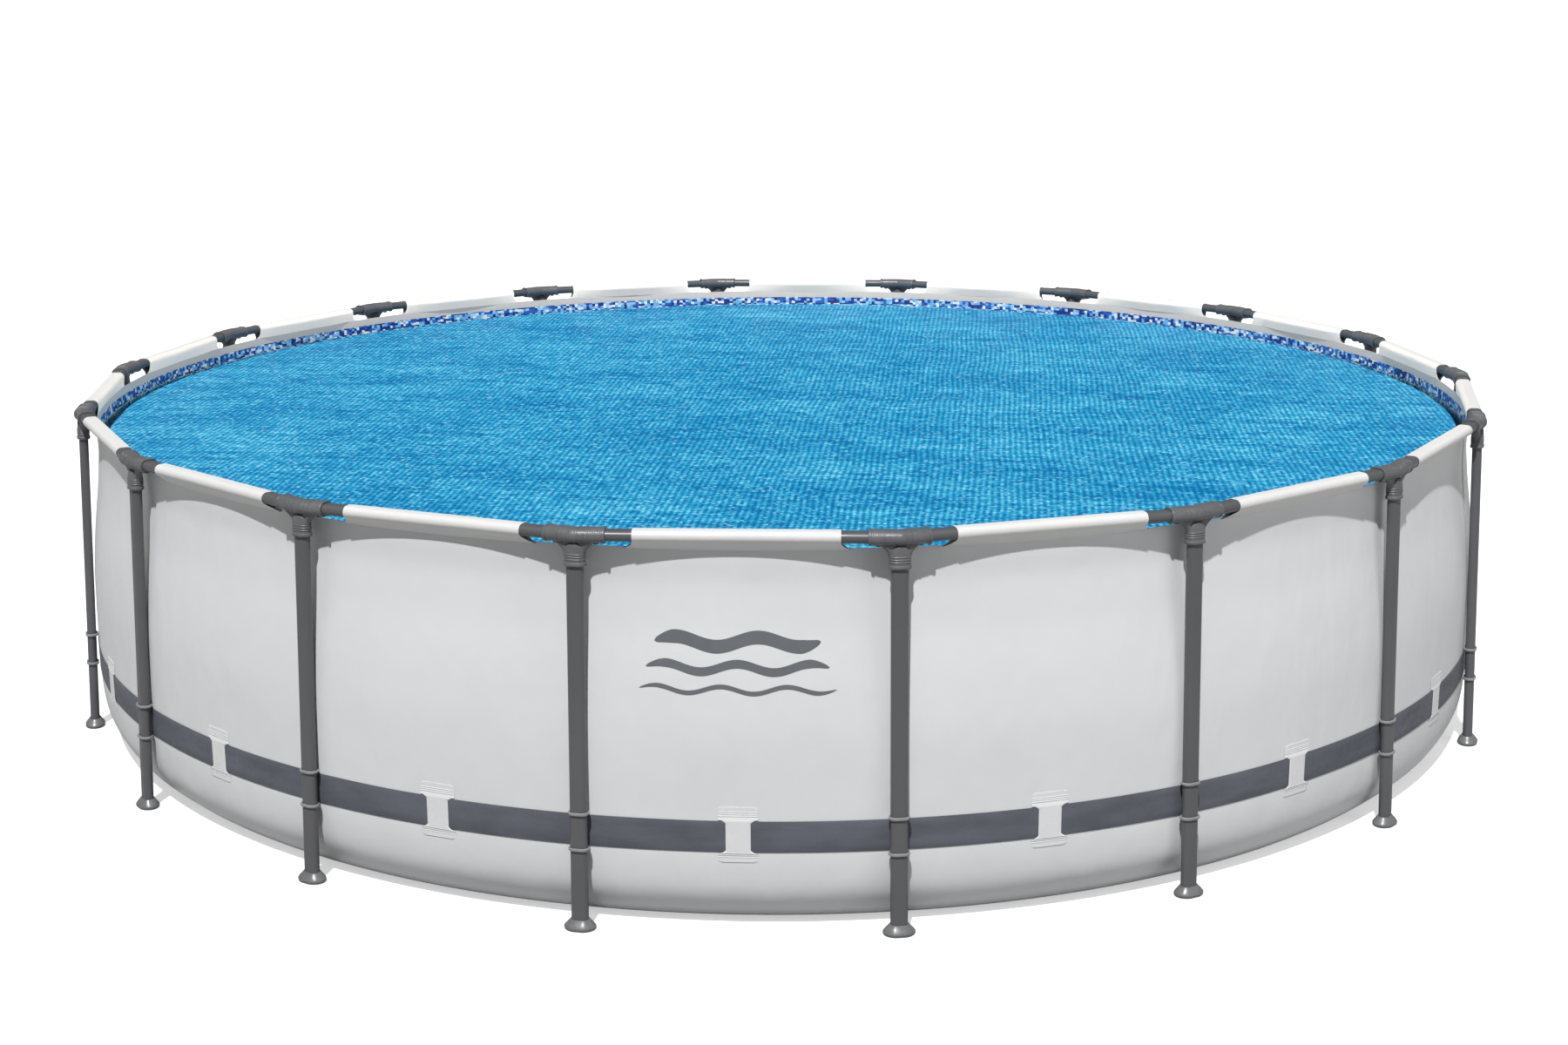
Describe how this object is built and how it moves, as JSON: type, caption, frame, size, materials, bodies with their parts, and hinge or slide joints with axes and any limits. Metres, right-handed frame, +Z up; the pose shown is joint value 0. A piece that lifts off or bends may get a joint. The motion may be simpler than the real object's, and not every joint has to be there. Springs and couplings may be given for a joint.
{
  "type": "above-ground pool with floating solar cover",
  "caption": "Round above-ground pool: steel rails and splayed legs carry a white liner with a grey restraint band, and a blue bubble cover floats inside the rim.",
  "frame": {"origin": "on the ground at the middle of the round basin, under the floor sheet", "axes": "+Z up; +X runs out through the first leg; the legs follow anticlockwise, so the middle of a bay faces -Y, the front"},
  "size_m": [5.5654, 5.483, 1.229],
  "materials": {
    "steel_tube": "dark grey powder coat, satin",
    "connector_plastic": "dark grey moulded plastic, satin",
    "foot_plastic": "mid grey moulded plastic, glossy",
    "hoop_plastic": "pale translucent grey plastic",
    "liner_white": "off-white laminated vinyl, satin",
    "liner_floor": "blue vinyl sheet, satin",
    "band_grey": "blue-grey reinforced vinyl strap, matt",
    "loop_white": "off-white laminated vinyl with welded ends",
    "cover_blue": "translucent blue bubble film, glossy",
    "gasket_rubber": "black rubber, matt",
    "fitting_white": "light grey moulded plastic",
    "pin_steel": "bright steel",
    "plug_grey": "grey moulded plastic"
  },
  "bodies": {
    "pool": {"leg_01": "steel_tube", "leg_02": "steel_tube", "leg_03": "steel_tube", "leg_04": "steel_tube", "leg_05": "steel_tube", "leg_06": "steel_tube", "leg_07": "steel_tube", "leg_08": "steel_tube", "leg_09": "steel_tube", "leg_10": "steel_tube", "leg_11": "steel_tube", "leg_12": "steel_tube", "leg_13": "steel_tube", "leg_14": "steel_tube", "leg_15": "steel_tube", "leg_16": "steel_tube", "leg_17": "steel_tube", "leg_18": "steel_tube", "connector_01": "connector_plastic", "connector_02": "connector_plastic", "connector_03": "connector_plastic", "connector_04": "connector_plastic", "connector_05": "connector_plastic", "connector_06": "connector_plastic", "connector_07": "connector_plastic", "connector_08": "connector_plastic", "connector_09": "connector_plastic", "connector_10": "connector_plastic", "connector_11": "connector_plastic", "connector_12": "connector_plastic", "connector_13": "connector_plastic", "connector_14": "connector_plastic", "connector_15": "connector_plastic", "connector_16": "connector_plastic", "connector_17": "connector_plastic", "connector_18": "connector_plastic", "top_rails": "steel_tube", "rail_sleeves": "liner_white", "connector_pins": "connector_plastic", "pin_gaskets": "gasket_rubber", "foot_caps": "foot_plastic", "leg_hoops": "hoop_plastic", "liner_wall": "liner_white", "liner_floor": "liner_floor", "restraint_band": "band_grey", "band_loops": "loop_white", "suction_body": "fitting_white", "suction_gaskets": "gasket_rubber", "suction_nut": "fitting_white", "suction_strainer": "fitting_white", "return_body": "fitting_white", "return_gaskets": "gasket_rubber", "return_nut": "fitting_white", "nozzle_ring": "fitting_white", "drain_body": "fitting_white", "drain_hinge_pin": "pin_steel"},
    "cover": {"solar_cover": "cover_blue"},
    "nozzle": {"return_nozzle": "fitting_white"},
    "drain_cap": {"drain_cap": "fitting_white"},
    "drain_plug": {"drain_plug": "plug_grey"}
  },
  "joints": [
    {"name": "cover_lift", "type": "slide", "parent": "pool", "child": "cover", "axis": [0, 0, 1], "range_m": [0, 0.3]},
    {"name": "nozzle_turn", "type": "hinge", "parent": "pool", "child": "nozzle", "pos_m": [0.90896, 2.49734, 0.92895], "axis": [0.3396, 0.933, 0.1187], "continuous": true},
    {"name": "drain_cap_hinge", "type": "hinge", "parent": "pool", "child": "drain_cap", "pos_m": [-1.75584, 2.09253, 0.192], "axis": [0.766, 0.6428, 0], "range_deg": [0, 110]},
    {"name": "plug_pull", "type": "slide", "parent": "pool", "child": "drain_plug", "axis": [0.6428, -0.766, 0], "range_m": [0, 0.05]}
  ]
}
